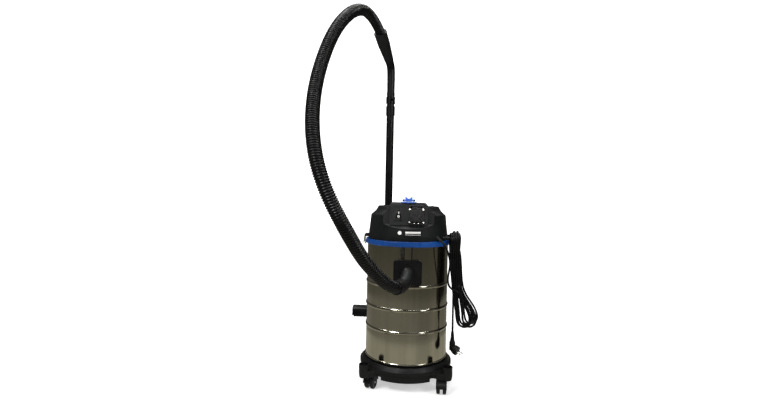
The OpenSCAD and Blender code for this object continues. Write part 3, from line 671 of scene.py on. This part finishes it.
def staged(name, mesh, colour, roughness=0.9):
    material, nodes, links, shader = new_material(name)
    cloud = noise(nodes, links, 3.0, 2.0)
    links.new(mottled(nodes, links, cloud, colour, 0.99, 1.01), shader.inputs["Base Color"])
    shader.inputs["Roughness"].default_value = roughness
    shader.inputs["Specular IOR Level"].default_value = 0.1
    mesh.materials.append(material)
    thing = bpy.data.objects.new(name, mesh)
    scene.collection.objects.link(thing)
    return thing


def curved_wall(name, radius, start, end, foot, top):
    """Part of a round wall about the object; angles in degrees, 0 at the front."""
    steps = 40
    vertices = []
    faces = []
    for i in range(steps + 1):
        angle = math.radians(start + (end - start) * i / steps)
        for z in (foot, top):
            vertices.append((radius * math.sin(angle), -radius * math.cos(angle), z))
    for i in range(steps):
        a = 2 * i
        faces.append((a, a + 2, a + 3, a + 1))
    return mesh_of(name, vertices, faces)


def soft_light(name, place, target, size, power, colour=(1, 1, 1)):
    data = bpy.data.lights.new(name, "AREA")
    data.shape = "RECTANGLE"
    data.size = size[0]
    data.size_y = size[1]
    data.energy = power
    data.color = colour
    light = bpy.data.objects.new(name, data)
    light.location = place
    light.rotation_euler = (Vector(target) - Vector(place)).to_track_quat("-Z", "Y").to_euler()
    scene.collection.objects.link(light)


def glowing(card, colour, strength):
    shader = card.data.materials[0].node_tree.nodes["Principled BSDF"]
    shader.inputs["Emission Color"].default_value = (*colour, 1)
    shader.inputs["Emission Strength"].default_value = strength


def flat_card(name, corners, colour, glow=0.0):
    card = staged(name, mesh_of(name, corners, [(0, 1, 2, 3)], smooth=False), colour)
    glowing(card, (1, 1, 1), glow)
    return card


def level_card(name, half, z, glow):
    """A pale square about the object."""
    corners = [(-half, -half, z), (half, -half, z), (half, half, z), (-half, half, z)]
    return flat_card(name, corners, PALE, glow)


def upright_card(name, x, y_range, z_range, colour):
    """A card that stands beside the object, facing it."""
    near, far = y_range
    foot, top = z_range
    return flat_card(name, [(x, near, foot), (x, far, foot), (x, far, top), (x, near, top)], colour)


def seen_directly_only(card):
    card.visible_glossy = False
    card.visible_diffuse = False
    card.visible_transmission = False
    card.visible_shadow = False


def seen_in_reflections_only(card):
    card.visible_camera = False
    card.visible_diffuse = False
    card.visible_transmission = False
    card.visible_shadow = False


def ring_card(name, inner, outer, colour, glow):
    """A flat ring just above the floor that only shows in the steel and the plastics."""
    steps = 48
    vertices = []
    for radius in (inner, outer):
        for k in range(steps):
            angle = 2 * math.pi * k / steps
            vertices.append((radius * math.cos(angle), radius * math.sin(angle), 0.0008))
    faces = [(k, (k + 1) % steps, steps + (k + 1) % steps, steps + k) for k in range(steps)]
    card = staged(name, mesh_of(name, vertices, faces, smooth=False), colour)
    glowing(card, tuple(c / max(colour) for c in colour), glow)
    seen_in_reflections_only(card)


level_card("floor", 2.2, 0, 0.5)
level_card("far_floor", 9, -0.002, 1.0)
backdrop = staged("backdrop", curved_wall("backdrop", 8.8, -180, 180, -0.2, 9.0), PALE)
glowing(backdrop, (1, 1, 1), 1.0)
seen_directly_only(backdrop)
seen_directly_only(level_card("backdrop_top", 9, 8.9, 1.0))
room = staged("dark_room", curved_wall("dark_room", 6.0, -180, 180, -0.1, 6.0), (0.02, 0.02, 0.018))
glowing(room, (1.0, 0.95, 0.85), 0.06)
seen_in_reflections_only(room)
ring_card("near_floor_tone", 0.19, 0.75, (0.05, 0.048, 0.040), 0.36)
ring_card("mid_floor_tone", 0.75, 1.7, (0.04, 0.038, 0.032), 0.17)
ring_card("far_floor_tone", 1.7, 8.0, (0.03, 0.028, 0.022), 0.075)
seen_in_reflections_only(upright_card("side_card", 1.5, (-0.08, 1.1), (0.001, 2.4), (0.004, 0.004, 0.004)))


def ceiling_lamps(height, radius, size, angles, glow):
    """Small lamps overhead that only show as glints on the ribs, the rings and the plastics."""
    vertices = []
    faces = []
    for angle in angles:
        turn = math.radians(angle)
        x = radius * math.sin(turn)
        y = -radius * math.cos(turn)
        base = len(vertices)
        for u, v in ((-1, -1), (1, -1), (1, 1), (-1, 1)):
            vertices.append((x + u * size[0] / 2, y + v * size[1] / 2, height))
        faces.append((base + 3, base + 2, base + 1, base))
    lamps = staged("ceiling_lamps", mesh_of("ceiling_lamps", vertices, faces, smooth=False), (0.8, 0.8, 0.8))
    glowing(lamps, (1.0, 0.98, 0.94), glow)
    seen_in_reflections_only(lamps)


ceiling_lamps(height=3.0, radius=2.0, size=(0.34, 0.34), angles=LAMP_ANGLES, glow=12.0)

world = bpy.data.worlds.new("studio")
world.use_nodes = True
world.node_tree.nodes["Background"].inputs["Color"].default_value = (1.0, 1.0, 1.0, 1)
world.node_tree.nodes["Background"].inputs["Strength"].default_value = 0.28
scene.world = world
soft_light("key_light", (-1.8, -2.4, 3.0), (0, 0, 0.6), (1.2, 0.9), 80)
soft_light("fill_light", (2.4, -2.2, 2.2), (0, 0, 0.5), (0.8, 1.6), 36)
soft_light("top_light", (0.0, 0.6, 3.6), (0, 0, 0.4), (1.6, 1.6), 60)

bpy.context.view_layer.update()
